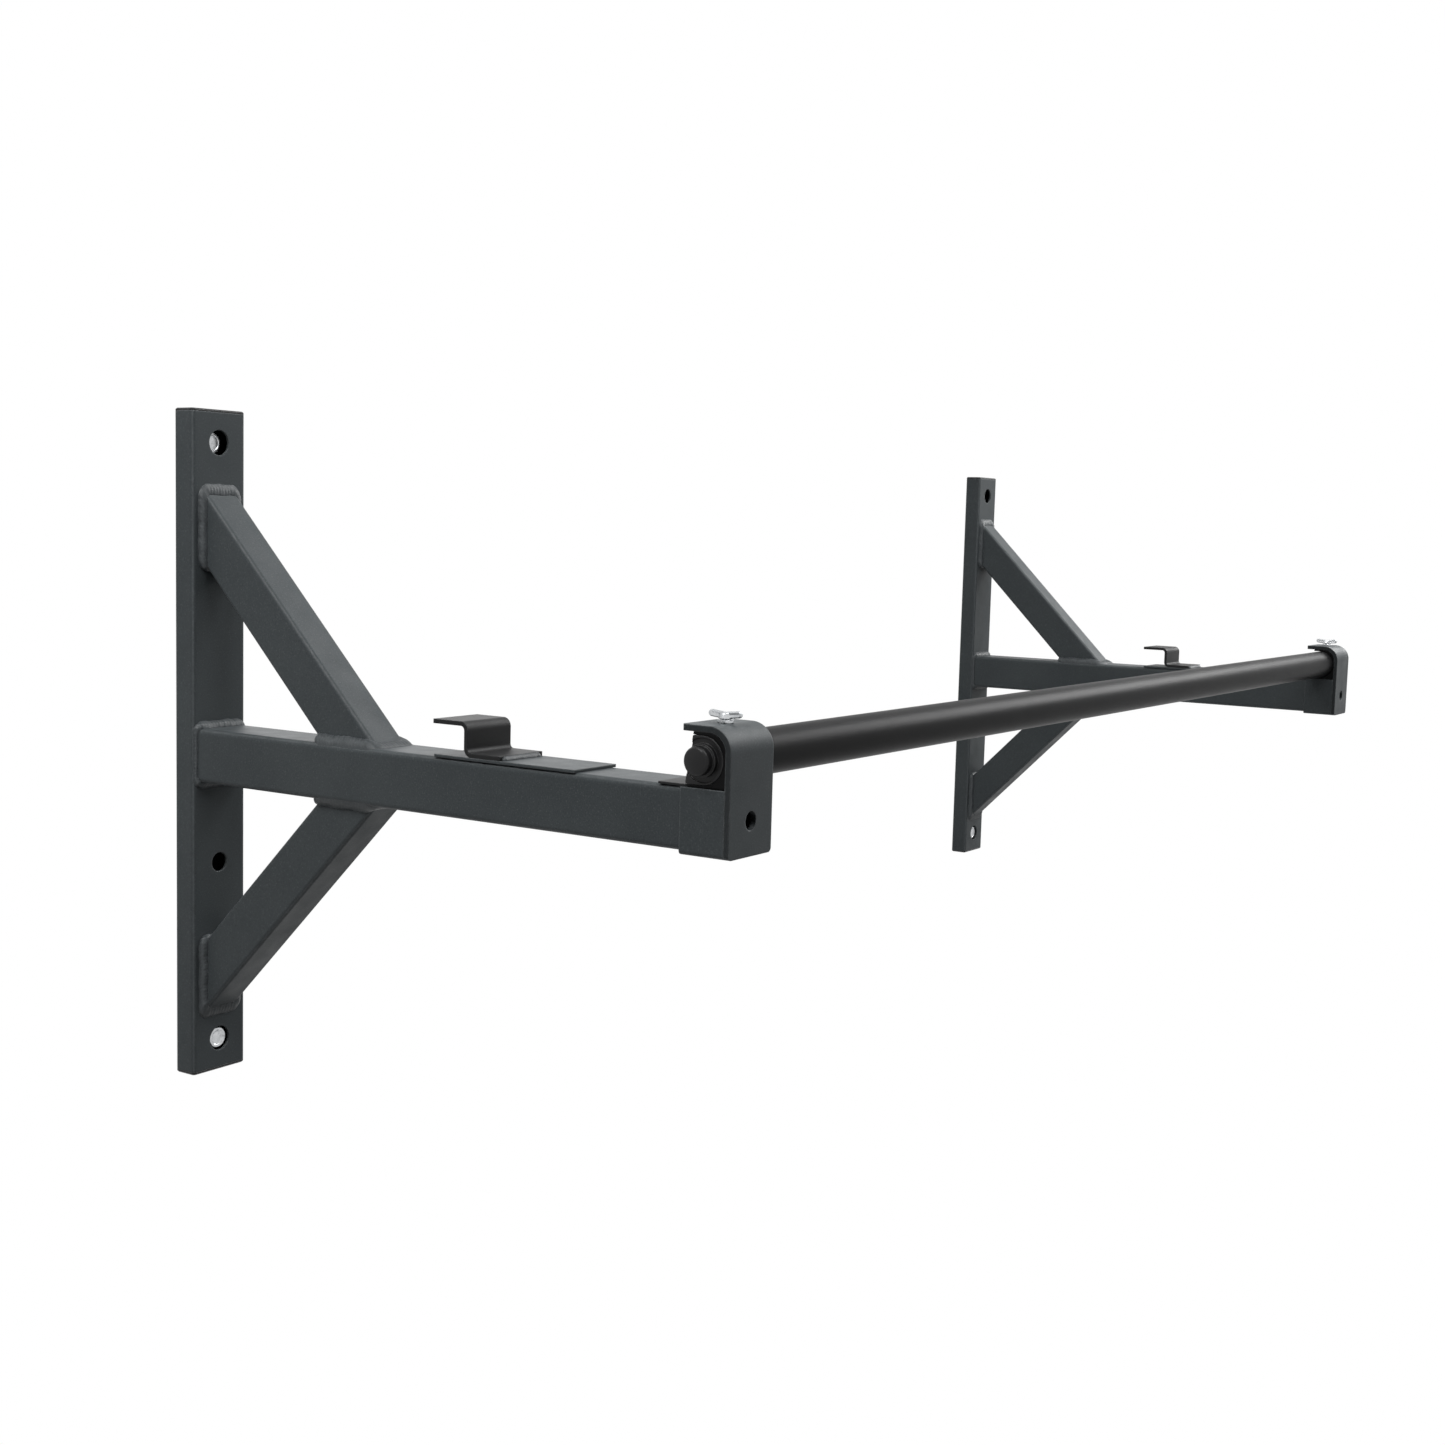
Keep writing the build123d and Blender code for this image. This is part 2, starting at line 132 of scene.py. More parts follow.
RECESS_RADIUS = BAR_RADIUS - PLUG_RIM
INSERT_RADIUS, COLLAR_RADIUS, KNOB_RADIUS = 0.0128, 0.0105, 0.0090
PLUG_POINTS, PLUG_RIM_EDGE, RIM_EDGE_SHARE, PLUG_FINE = 120, 0.0004, 0.3, 0.0001
TINY = 1e-6

# Lip nut and wing screw
nut_low, nut_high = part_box("left_lip_nut")
NUT_FLATS, NUT_HEIGHT = nut_high.y - nut_low.y, nut_high.z - nut_low.z
NUT_BORE, NUT_BEVEL = 0.0033, 0.0003
LIP_TOP = nut_low.z
SCREW_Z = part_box("left_clamp_pad")[1].z
SCREW_TIP = SCREW_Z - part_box("left_wing_screw")[0].z
SCREW_TIP_RADIUS, SCREW_TIP_BEVEL = 0.0020, 0.0002
SCREW_RADIUS, SCREW_THREAD_DEPTH, SCREW_PITCH, SCREW_ROWS_PER_PITCH = 0.0030, 0.0004, 0.0010, 6
HUB_GAP = 0.0005
HUB_RISE = nut_high.z + HUB_GAP - SCREW_Z
# Radius and height of each ring, from the flared foot to the rounded top
HUB_PROFILE = (
    (0.0041, 0.0), (0.0045, 0.0003), (0.00445, 0.0007), (0.0042, 0.0018), (0.0039, 0.0030),
    (0.00375, 0.0035), (0.0035, 0.0038), (0.0030, 0.0040), (0.0012, 0.0040),
)
WING_REACH, WING_RADIUS, WING_HALF_THICK = 0.0080, 0.00225, 0.0013
WING_START, WING_TILT, WING_POINTS = 0.001875, math.radians(6), 14
WING_ROOT_SWELL, WING_ROOT_LENGTH = 0.55, 0.006
# Inset from the wing's outline and share of its half thickness, from the rim inwards
WING_RIM = ((0.0, 0.0), (0.00007, 0.5), (0.00025, 0.8), (0.0005, 0.97), (0.0009, 1.0), (0.0017, 0.84))

# Colours: dark and light tone of each finish, then the tone of its marks: on the coats pin specks, worn edges
# with a painted highlight and painted highlights on rounded corners, on the plastics painted highlights along
# the edges, and on the zinc dull spots
GREY = (0.040, 0.046, 0.049, 1), (0.050, 0.057, 0.060, 1), (0.17, 0.18, 0.185, 1)
# Weld beads carry the same coat, taken darker as painted shade
WELD_SHADED_GREY = (0.030, 0.034, 0.037, 1), (0.040, 0.046, 0.049, 1), (0.15, 0.16, 0.165, 1)
BAR_BLACK = (0.0135, 0.0135, 0.0139, 1), (0.0155, 0.0155, 0.0159, 1), (0.040, 0.040, 0.041, 1)
HOOK_BLACK = (0.0100, 0.0102, 0.0106, 1), (0.0130, 0.0132, 0.0136, 1), (0.060, 0.062, 0.064, 1)
PLUG_BLACK = (0.0075, 0.0075, 0.008, 1), (0.0115, 0.0115, 0.012, 1), (0.10, 0.101, 0.103, 1)
# Hook liner: black plastic taken darker than the plug's, as painted shade inside the hook
LINER_SHADED_BLACK = (0.0030, 0.0030, 0.0032, 1), (0.0048, 0.0048, 0.005, 1), (0.020, 0.020, 0.021, 1)
ZINC_SILVER = (0.46, 0.475, 0.49, 1), (0.58, 0.59, 0.60, 1), (0.30, 0.31, 0.32, 1)

# Noises: scale per metre, detail and roughness
COAT_CLOUD, COAT_PATCH, COAT_WAVES = (14.0, 3.0, 0.5), (55.0, 3.0, 0.5), (210.0, 1.0, 0.5)
COAT_EDGE_BREAKUP = (160.0, 4.0, 0.65)
COAT_GRAIN_DETAIL, COAT_GRAIN_ROUGHNESS = 2.0, 0.6
PLASTIC_CLOUD, PLASTIC_GRAIN = (60.0, 2.0, 0.5), (1900.0, 2.0, 0.5)
ZINC_DULL, ZINC_GRAIN = (300.0, 4.0, 0.6), (2600.0, 2.0, 0.5)
FLOOR_CLOUD = (3.0, 2.0, 0.5)

# Marks: ranges are the values at which a mark starts and is full, and bumps have a strength and a height
NOISE_MIDDLE = (0.3, 0.7)
EDGE_TURN, EDGE_SAMPLES = (0.995, 0.82), 4
PIT_RANGE, PIT_TONE = (0.26, 0.46), 0.80
SPECK_RANGE, SPECK_SHARE = (0.58, 0.74), 0.20
# Noise that breaks up the lightened edges and corners
EDGE_BREAKUP_RANGE, EDGE_BREAKUP_LEAST = (0.30, 0.62), 0.35
# Faces that look along the bar are darkened as painted shade
SIDE_SHADE_RANGE = (0.64, 0.94)
# Rounded corners, where the normal is slanted, are lightened as a painted highlight
CORNER_HIGHLIGHT_RANGE, CORNER_HIGHLIGHT = (0.17, 0.25), 0.35
# Sharp edges are lightened as wear with a painted highlight
COAT_EDGE, COAT_EDGE_WEAR_AND_HIGHLIGHT = 0.0012, 0.75
COAT_ROUGH_SPREAD = 0.065
COAT_WAVE_BUMP, COAT_WAVE_HEIGHT = 0.10, 0.0003
COAT_GRAIN_BUMP, COAT_GRAIN_HEIGHT = 0.42, 0.00012
# Plastic edges are lightened as a painted highlight
PLASTIC_EDGE, PLASTIC_EDGE_HIGHLIGHT, PLASTIC_ROUGH_SPREAD = 0.0006, 0.7, 0.05
PLASTIC_GRAIN_BUMP, PLASTIC_GRAIN_HEIGHT = 0.2, 0.0001
SPANGLE_SCALE, SPANGLE_RANGE = 420.0, (0.1, 0.9)
DULL_RANGE, DULL_SHARE = (0.55, 0.72), 0.6
ZINC_EDGE, ZINC_ROUGH = 0.0004, (0.24, 0.46)
ZINC_GRAIN_BUMP, ZINC_GRAIN_HEIGHT = 0.12, 0.00008

# Stage: the floor lies far below, as for something on a wall
FLOOR_Z, FLOOR_HALF = -2.6, 14.0
FLOOR_TONES = (0.86, 0.86, 0.86, 1), (0.90, 0.90, 0.90, 1)
FLOOR_ROUGH, FLOOR_GLOW, FLOOR_FADE = 0.9, 0.85, (4.0, 12.0)
WALL_Y, WALL_HALF, WALL_TOP = 0.0004, 9.0, 4.0
WORLD_LEVEL = 0.10
# Name, place, target, size and power of each lamp
LAMPS = (
    ("key", (2.2, -1.0, 1.1), (0.0, -0.4, 0.0), (1.0, 1.0), 32.0),
    ("top_light", (0.9, -0.9, 1.8), (0.4, -0.2, 0.0), (1.2, 1.2), 36.0),
    ("front_fill", (-0.8, -1.3, 1.6), (-0.6, -0.2, 0.0), (1.0, 1.0), 16.0),
    ("left_fill", (-1.7, -0.15, 1.2), (-0.6, -0.2, 0.0), (0.8, 0.8), 23.0),
    ("back_light", (1.1, 1.7, 0.9), (0.0, 0.0, 0.0), (1.4, 1.0), 22.0),
)

# Camera, fitted to the photo's edges: focal length in pixels of the photo's width, angles in radians
PHOTO_WIDTH, CAMERA_FOCAL = 1445.0, 1869.54
CAMERA_YAW, CAMERA_PITCH, CAMERA_ROLL = 0.580934, 0.102317, 0.0272235
CAMERA_PLACE = (-1.60026, -1.09133, 0.16908)
SENSOR_WIDTH, CLIP_START = 36.0, 0.05


# Shader helpers
def material(name):
    mat = bpy.data.materials.new(name)
    mat.use_nodes = True
    tree = mat.node_tree
    return mat, tree, tree.nodes["Principled BSDF"]


def add(tree, kind, **inputs):
    """New node with some of its inputs set."""
    node = tree.nodes.new(kind)
    for name, value in inputs.items():
        node.inputs[name].default_value = value
    return node


def feed(tree, value, socket):
    """Links a socket to another one, or sets it to a plain value."""
    if isinstance(value, bpy.types.NodeSocket):
        tree.links.new(value, socket)
    else:
        socket.default_value = value


def noise(tree, place, scale, detail, roughness):
    node = add(tree, "ShaderNodeTexNoise", Scale=scale, Detail=detail, Roughness=roughness)
    tree.links.new(place, node.inputs["Vector"])
    return node.outputs["Fac"]


def remap(tree, value, source, target=(0.0, 1.0)):
    """Value with a source range stretched over a target range, and kept within it."""
    node = tree.nodes.new("ShaderNodeMapRange")
    tree.links.new(value, node.inputs["Value"])
    for socket, number in zip(("From Min", "From Max", "To Min", "To Max"), (*source, *target)):
        node.inputs[socket].default_value = number
    return node.outputs["Result"]


def math_node(tree, operation, a, b):
    node = tree.nodes.new("ShaderNodeMath")
    node.operation = operation
    feed(tree, a, node.inputs[0])
    feed(tree, b, node.inputs[1])
    return node.outputs["Value"]


def mix_colour(tree, factor, a, b, blend="MIX"):
    node = tree.nodes.new("ShaderNodeMix")
    node.data_type = "RGBA"
    node.blend_type = blend
    colours = [s for s in node.inputs if s.type == "RGBA"]
    for socket, value in ((node.inputs[0], factor), (colours[0], a), (colours[1], b)):
        feed(tree, value, socket)
    return [s for s in node.outputs if s.type == "RGBA"][0]


def bump(tree, height, strength, distance, normal):
    node = add(tree, "ShaderNodeBump", Strength=strength, Distance=distance)
    tree.links.new(height, node.inputs["Height"])
    tree.links.new(normal, node.inputs["Normal"])
    return node.outputs["Normal"]


def edge_mask(tree, radius):
    """Mask near 1 on sharp edges, where a rounded normal leaves the true one, and that rounded normal."""
    bevel = add(tree, "ShaderNodeBevel", Radius=radius)
    bevel.samples = EDGE_SAMPLES
    true = tree.nodes.new("ShaderNodeNewGeometry").outputs["Normal"]
    dot = tree.nodes.new("ShaderNodeVectorMath")
    dot.operation = "DOT_PRODUCT"
    tree.links.new(bevel.outputs["Normal"], dot.inputs[0])
    tree.links.new(true, dot.inputs[1])
    return remap(tree, dot.outputs["Value"], EDGE_TURN), bevel.outputs["Normal"]


# Finishes
def coat(name, tones, rough, grain_scale, specular, uneven=1.0, side_shade_tone=1.0):
    """Baked coat: cloudy tone, fine grain, pin specks, edges lightened as wear with a painted highlight, and
    painted highlights on rounded corners.

    uneven scales its waves and dull patches, and its side shade tone darkens the faces that look along the
    bar, as painted shade on the sides of the hook strip.
    """
    dark, light, mark_tone = tones
    mat, tree, shader = material(name)
    coords = tree.nodes.new("ShaderNodeTexCoord")
    place = coords.outputs["Object"]
    cloud = remap(tree, noise(tree, place, *COAT_CLOUD), NOISE_MIDDLE)
    tone = mix_colour(tree, cloud, dark, light)
    grain = noise(tree, place, grain_scale, COAT_GRAIN_DETAIL, COAT_GRAIN_ROUGHNESS)
    pits = remap(tree, grain, PIT_RANGE, (PIT_TONE, 1.0))
    tone = mix_colour(tree, 1.0, tone, pits, "MULTIPLY")
    specks = remap(tree, grain, SPECK_RANGE, (0.0, SPECK_SHARE))
    tone = mix_colour(tree, specks, tone, mark_tone)
    normal = tree.nodes.new("ShaderNodeSeparateXYZ")
    tree.links.new(coords.outputs["Normal"], normal.inputs["Vector"])
    sideways = math_node(tree, "MULTIPLY", normal.outputs["X"], normal.outputs["X"])
    # Painted shade on the faces that look along the bar
    if side_shade_tone < 1.0:
        side_shade = remap(tree, sideways, SIDE_SHADE_RANGE, (1.0, side_shade_tone))
        tone = mix_colour(tree, 1.0, tone, side_shade, "MULTIPLY")
    # Painted highlight on rounded corners, and wear with a painted highlight on sharp edges
    slanted = math_node(tree, "MULTIPLY", sideways, math_node(tree, "SUBTRACT", 1.0, sideways))
    corner = remap(tree, slanted, CORNER_HIGHLIGHT_RANGE, (0.0, CORNER_HIGHLIGHT))
    edge, soft_normal = edge_mask(tree, COAT_EDGE)
    edge_breakup = remap(tree, noise(tree, place, *COAT_EDGE_BREAKUP), EDGE_BREAKUP_RANGE, (EDGE_BREAKUP_LEAST, 1.0))
    wear_and_highlight = math_node(tree, "MULTIPLY", math_node(tree, "MAXIMUM", edge, corner), edge_breakup)
    tone = mix_colour(tree, math_node(tree, "MULTIPLY", wear_and_highlight, COAT_EDGE_WEAR_AND_HIGHLIGHT), tone, mark_tone)
    tree.links.new(tone, shader.inputs["Base Color"])
    spread = COAT_ROUGH_SPREAD * uneven
    patches = remap(tree, noise(tree, place, *COAT_PATCH), NOISE_MIDDLE, (rough - spread, rough + spread))
    tree.links.new(patches, shader.inputs["Roughness"])
    shader.inputs["Specular IOR Level"].default_value = specular
    waves = noise(tree, place, *COAT_WAVES)
    wavy = bump(tree, waves, COAT_WAVE_BUMP * uneven, COAT_WAVE_HEIGHT, soft_normal)
    tree.links.new(bump(tree, grain, COAT_GRAIN_BUMP, COAT_GRAIN_HEIGHT, wavy), shader.inputs["Normal"])
    return mat


def plastic(name, tones, rough, specular):
    """Moulded black plastic with a fine eroded grain, and its edges lightened as a painted highlight."""
    dark, light, mark_tone = tones
    mat, tree, shader = material(name)
    place = tree.nodes.new("ShaderNodeTexCoord").outputs["Object"]
    cloud = remap(tree, noise(tree, place, *PLASTIC_CLOUD), NOISE_MIDDLE)
    tone = mix_colour(tree, cloud, dark, light)
    edge, soft_normal = edge_mask(tree, PLASTIC_EDGE)
    # Painted highlight along the edges
    tone = mix_colour(tree, math_node(tree, "MULTIPLY", edge, PLASTIC_EDGE_HIGHLIGHT), tone, mark_tone)
    tree.links.new(tone, shader.inputs["Base Color"])
    gloss = (rough - PLASTIC_ROUGH_SPREAD, rough + PLASTIC_ROUGH_SPREAD)
    tree.links.new(remap(tree, cloud, (0.0, 1.0), gloss), shader.inputs["Roughness"])
    shader.inputs["Specular IOR Level"].default_value = specular
    grain = noise(tree, place, *PLASTIC_GRAIN)
    grained = bump(tree, grain, PLASTIC_GRAIN_BUMP, PLASTIC_GRAIN_HEIGHT, soft_normal)
    tree.links.new(grained, shader.inputs["Normal"])
    return mat


def zinc(name, tones):
    """Bright zinc plating: faint spangle and dull spots."""
    dark, light, mark_tone = tones
    mat, tree, shader = material(name)
    place = tree.nodes.new("ShaderNodeTexCoord").outputs["Object"]
    cells = add(tree, "ShaderNodeTexVoronoi", Scale=SPANGLE_SCALE)
    tree.links.new(place, cells.inputs["Vector"])
    tone = mix_colour(tree, remap(tree, cells.outputs["Color"], SPANGLE_RANGE), dark, light)
    dull = remap(tree, noise(tree, place, *ZINC_DULL), DULL_RANGE)
    tone = mix_colour(tree, math_node(tree, "MULTIPLY", dull, DULL_SHARE), tone, mark_tone)
    tree.links.new(tone, shader.inputs["Base Color"])
    tree.links.new(remap(tree, dull, (0.0, 1.0), ZINC_ROUGH), shader.inputs["Roughness"])
    shader.inputs["Metallic"].default_value = 1.0
    soft_normal = edge_mask(tree, ZINC_EDGE)[1]
    grain = noise(tree, place, *ZINC_GRAIN)
    grained = bump(tree, grain, ZINC_GRAIN_BUMP, ZINC_GRAIN_HEIGHT, soft_normal)
    tree.links.new(grained, shader.inputs["Normal"])
    return mat


powder_coat = coat("powder_coat", GREY, rough=0.46, grain_scale=900.0, specular=0.11)
# The hook strip's coat has painted shade on its sides
side_shaded_strip_coat = coat("side_shaded_strip_coat", GREY, rough=0.48, grain_scale=900.0, specular=0.11, side_shade_tone=0.45)
# The weld coat is taken darker as painted shade on the beads
weld_coat = coat("weld_coat", WELD_SHADED_GREY, rough=0.44, grain_scale=1100.0, specular=0.24)
bar_coat = coat("bar_coat", BAR_BLACK, rough=0.36, grain_scale=2100.0, specular=0.022, uneven=0.15)
hook_coat = coat("hook_coat", HOOK_BLACK, rough=0.46, grain_scale=1500.0, specular=0.12, uneven=0.5)
black_plastic = plastic("black_plastic", PLUG_BLACK, rough=0.33, specular=0.20)
# The liner plastic is taken darker as painted shade inside the hook
shaded_liner_plastic = plastic("shaded_liner_plastic", LINER_SHADED_BLACK, rough=0.46, specular=0.05)
zinc_plate = zinc("zinc", ZINC_SILVER)

FINISH = {
    "upright": powder_coat,
    "upright_top_cap": black_plastic,
    "upright_bottom_cap": black_plastic,
    "arm": powder_coat,
    "upper_brace": powder_coat,
    "lower_brace": powder_coat,
    "weld_beads": weld_coat,
    "end_sleeve": powder_coat,
    "hook_strip": side_shaded_strip_coat,
    "seat_plate": hook_coat,
    "hook_liner": shaded_liner_plastic,
    "lip_nut": zinc_plate,
    "wing_screw": zinc_plate,
    "clamp_pad": black_plastic,
    "rear_hook": hook_coat,
    "rear_base_plate": powder_coat,
    "wall_bolts": zinc_plate,
    "wall_washers": zinc_plate,
    "bolt_spacers": zinc_plate,
    "pull_up_bar": bar_coat,
    "bar_plug": black_plastic,
}
for name, node in nodes.items():
    kind = name.removeprefix("left_").removeprefix("right_")
    node.data.materials.clear()
    node.data.materials.append(FINISH[kind])


# Mesh helpers
class Shape:
    """Points and faces of one piece, gathered before its mesh is made."""

    def __init__(self):
        self.points = []
        self.faces = []

    def ring(self, points):
        start = len(self.points)
        self.points.extend(Vector(p) for p in points)
        return range(start, len(self.points))

    def bridge(self, a, b):
        """Faces between two closed rings."""
        count = len(a)
        for i in range(count):
            j = (i + 1) % count
            self.faces.append((a[i], a[j], b[j], b[i]))

    def loft(self, rings, capped=True):
        """Faces from each closed ring to the next and, if capped, over the first and the last."""
        made = [self.ring(r) for r in rings]
        for a, b in zip(made, made[1:]):
            self.bridge(a, b)
        if capped:
            self.faces.append(tuple(reversed(made[0])))
            self.faces.append(tuple(made[-1]))
        return made

    def move(self, matrix, start=0):
        """Moves the points from start on."""
        for i in range(start, len(self.points)):
            self.points[i] = matrix @ self.points[i]


def piece(name, shape, mat, body, node, smooth):
    """Object made from a shape, in place of a CAD node; edges up to smooth degrees are shaded round."""
    mesh = bpy.data.meshes.new(name)
    mesh.from_pydata(shape.points, [], shape.faces)
    mesh.validate()
    net = bmesh.new()
    net.from_mesh(mesh)
    bmesh.ops.remove_doubles(net, verts=net.verts, dist=SAME_PLACE)
    bmesh.ops.recalc_face_normals(net, faces=net.faces)
    net.to_mesh(mesh)
    net.free()
    mesh.polygons.foreach_set("use_smooth", [True] * len(mesh.polygons))
    mesh.set_sharp_from_angle(angle=math.radians(smooth))
    mesh.materials.append(mat)
    obj = bpy.data.objects.new(name, mesh)
    bpy.context.scene.collection.objects.link(obj)
    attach(obj, body)
    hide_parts(node)


def circle(radius, z, count=ROUND_POINTS):
    angles = [2 * math.pi * i / count for i in range(count)]
    return [(radius * math.cos(angle), radius * math.sin(angle), z) for angle in angles]


# Weld beads
def corner_drop(across, half, corner):
    """How far a round-edged carrier falls away at a distance from its middle line."""
    past = min(max(abs(across) - (half - corner), 0.0), corner)
    return corner - math.sqrt(corner * corner - past * past)


def outline(half_x, half_y, corner, stretch):
    """Points and outward normals round a rectangle with round corners, stretched along y."""
    runs = []
    half_y /= stretch
    for k in range(4):
        angle = k * math.pi / 2
        out = Vector((math.cos(angle), math.sin(angle)))
        along = Vector((-math.sin(angle), math.cos(angle)))
        reach = abs(out.x) * half_x + abs(out.y) * half_y
        half = abs(along.x) * half_x + abs(along.y) * half_y - corner
        count = max(2, round(2 * half / BEAD_STEP))
        for i in range(count):
            runs.append((out * reach + along * (2 * half * i / count - half), out))
        centre = out * (reach - corner) + along * half
        turns = max(3, round(corner * math.pi / 2 / BEAD_STEP))
        for i in range(turns):
            swing = angle + math.pi / 2 * i / turns
            way = Vector((math.cos(swing), math.sin(swing)))
            runs.append((centre + way * corner, way))
    return [
        (Vector((here.x, here.y * stretch)), Vector((out.x, out.y / stretch)).normalized())
        for here, out in runs
    ]


def wobble(distance, seed):
    """Uneven hand of the welder, between -1 and 1."""
    return sum(share * math.sin(distance * rate + shift * seed) for share, rate, shift in WOBBLE_WAVES)


def ripple(distance, rise, pitch, bow, bulge, height):
    """Lift of a bead's surface at a distance along it; rise goes from 0 at its foot to 1 at its crown."""
    arch = math.sin(math.pi * rise)
    phase = (distance / pitch + bow * arch) % 1.0
    scallop = math.sin(math.pi * phase) ** SCALLOP_POWER - SCALLOP_MEAN
    return bulge * arch + height * scallop * arch ** ARCH_POWER


def tube_bead(shape, origin, axes, tube, carrier, legs, seed):
    """Closed bead round a tube's end.

    axes are two directions on the carrier's face and the tube's own, tube has its half sizes and corner on
    that face, and carrier has its half width and corner.
    """
    u, v, axis = axes
    half_x, half_y, corner = tube
    face = u.cross(v)
    stretch = 1 / axis.dot(face)
    path = outline(half_x, half_y, corner, stretch)
    rings = []
    distance = 0.0
    last = path[-1][0]
    for here, out in path:
        distance += (here - last).length
        last = here
        away = u * out.x + v * out.y
        tangent = -u * out.y + v * out.x
        up = axis * (stretch ** (out.x * out.x))
        base = origin + u * here.x + v * here.y
        leg = (abs(out.x) * legs[0] + abs(out.y) * legs[1]) / (abs(out.x) + abs(out.y))
        leg *= 1.0 + LEG_WOBBLE * wobble(distance, seed)
        foot = base + away * leg
        drop = corner_drop((foot - origin).dot(u), *carrier)
        foot -= face * (drop + BEAD_SINK)
        crown_rise = CROWN_SHARE + CROWN_WOBBLE * wobble(distance, seed + CROWN_SHIFT)
        crown = base + up * leg * crown_rise - away * BEAD_SINK
        square = (axis - tangent * axis.dot(tangent)).normalized()
        bulge = (away + square).normalized()
        ring = [base - face * (drop + ROOT_SINK) - away * ROOT_BACK]
        for i in range(BEAD_ROWS + 1):
            rise = i / BEAD_ROWS
            ring.append(foot.lerp(crown, rise) + bulge * ripple(distance, rise, **TUBE_RIPPLE))
        rings.append(ring)
    made = shape.loft(rings, capped=False)
    shape.bridge(made[-1], made[0])


def straight_bead(shape, start, end, away, up, seed):
    """Bead along the end of the rear hook's foot, with round ends."""
    length = (end - start).length
    count = round(length / FOOT_STEP)
    rings = []
    for k in range(count + 1):
        distance = length * k / count
        base = start.lerp(end, k / count)
        from_end = min(distance, length - distance) / FOOT_END
        swell = math.sqrt(max(1.0 - (1.0 - min(from_end, 1.0)) ** 2, FOOT_END_LEAST))
        foot = base + away * (FOOT_LEG * swell * (1 + FOOT_WOBBLE * wobble(distance, seed)))
        crown = base + up * (FOOT_RISE * swell)
        bulge = (away + up).normalized()
        ring = [base - up * FOOT_SINK - away * FOOT_BACK]
        for i in range(FOOT_ROWS + 1):
            rise = i / FOOT_ROWS
            ring.append(foot.lerp(crown, rise) + bulge * swell * ripple(distance, rise, **FOOT_RIPPLE))
        rings.append(ring)
    shape.loft(rings)


def weld_beads(x, seed):
    """All beads of one bracket: round the arm, round both ends of each brace, and at the rear hook."""
    shape = Shape()
    upright = (UPRIGHT_HALF, UPRIGHT_CORNER)
    arm = (ARM_HALF_WIDTH, ARM_CORNER)
    arm_end = (ARM_HALF_WIDTH, ARM_HALF_HEIGHT, ARM_CORNER)
    brace_end = (BRACE_HALF, BRACE_CUT / 2, BRACE_CORNER)
    middle = BRACE_RUN - BRACE_CUT / 2
    at_arm = Vector((x, UPRIGHT_FRONT, ARM_Z))
    tube_bead(shape, at_arm, (X, Z, -Y), arm_end, upright, (ARM_SIDE_LEG, WELD_LEG), seed)
    for way, level in ((1, ARM_TOP), (-1, ARM_BOTTOM)):
        leaning = Vector((0, -1, -way)).normalized()
        back = Vector((x, UPRIGHT_FRONT, level + way * middle))
        tube_bead(shape, back, (X, Z, leaning), brace_end, upright, (WELD_LEG, WELD_LEG), seed + 2 * way)
        front = Vector((x, UPRIGHT_FRONT - middle, level))
        legs = (BRACE_SIDE_LEG, WELD_LEG)
        tube_bead(shape, front, (X, Y * way, -leaning), brace_end, arm, legs, seed + 3 * way)
    foot = Vector((x, rear_foot.y, rear_foot.z))
    straight_bead(shape, foot - X * FOOT_WELD_HALF, foot + X * FOOT_WELD_HALF, -Y, Z, seed)
    return shape


# Bolts, nuts and wing screws
def thread(radius, depth, pitch, z0, z1, rows_per_pitch):
    """Rings of a screw thread as one displaced tube, faded out at both ends."""
    rows = max(2, math.ceil((z1 - z0) / pitch * rows_per_pitch))
    rings = []
    for k in range(rows + 1):
        z = z0 + (z1 - z0) * k / rows
        fade = min(1.0, (z - z0) / pitch, (z1 - z) / pitch)
        ring = []
        for i in range(ROUND_POINTS):
            wave = abs(((z / pitch - i / ROUND_POINTS) % 1.0) * 2 - 1)
            r = radius - depth * (1 - fade * min(1.0, CREST_FLAT * wave))
            angle = 2 * math.pi * i / ROUND_POINTS
            ring.append((r * math.cos(angle), r * math.sin(angle), z))
        rings.append(ring)
    return rings


def hexagon(flats, z, face=None, way=1):
    """Hexagon ring; with a face radius, its corners outside it are chamfered down (way 1) or up (way -1)."""
    ring = []
    for i in range(HEX_POINTS):
        angle = 2 * math.pi * i / HEX_POINTS
        local = (angle + math.pi / 6) % (math.pi / 3) - math.pi / 6
        radius = flats / 2 / math.cos(local)
        drop = way * CHAMFER_SLOPE * max(0.0, radius - face) if face else 0.0
        ring.append((radius * math.cos(angle), radius * math.sin(angle), z - drop))
    return ring


def hex_head(flats, height):
    """Rings of a bolt head standing on z = 0, with chamfered corners and a shallow dish on top."""
    face = flats / 2 * HEX_FACE_SHARE
    return [
        hexagon(flats, 0.0),
        hexagon(flats, height, face),
        circle(face, height, HEX_POINTS),
        circle(face * DISH_RIM_SHARE, height, HEX_POINTS),
        circle(face * DISH_FLOOR_SHARE, height - DISH_DEPTH, HEX_POINTS),
        circle(face * DISH_CENTRE_SHARE, height - DISH_DEPTH, HEX_POINTS),
    ]


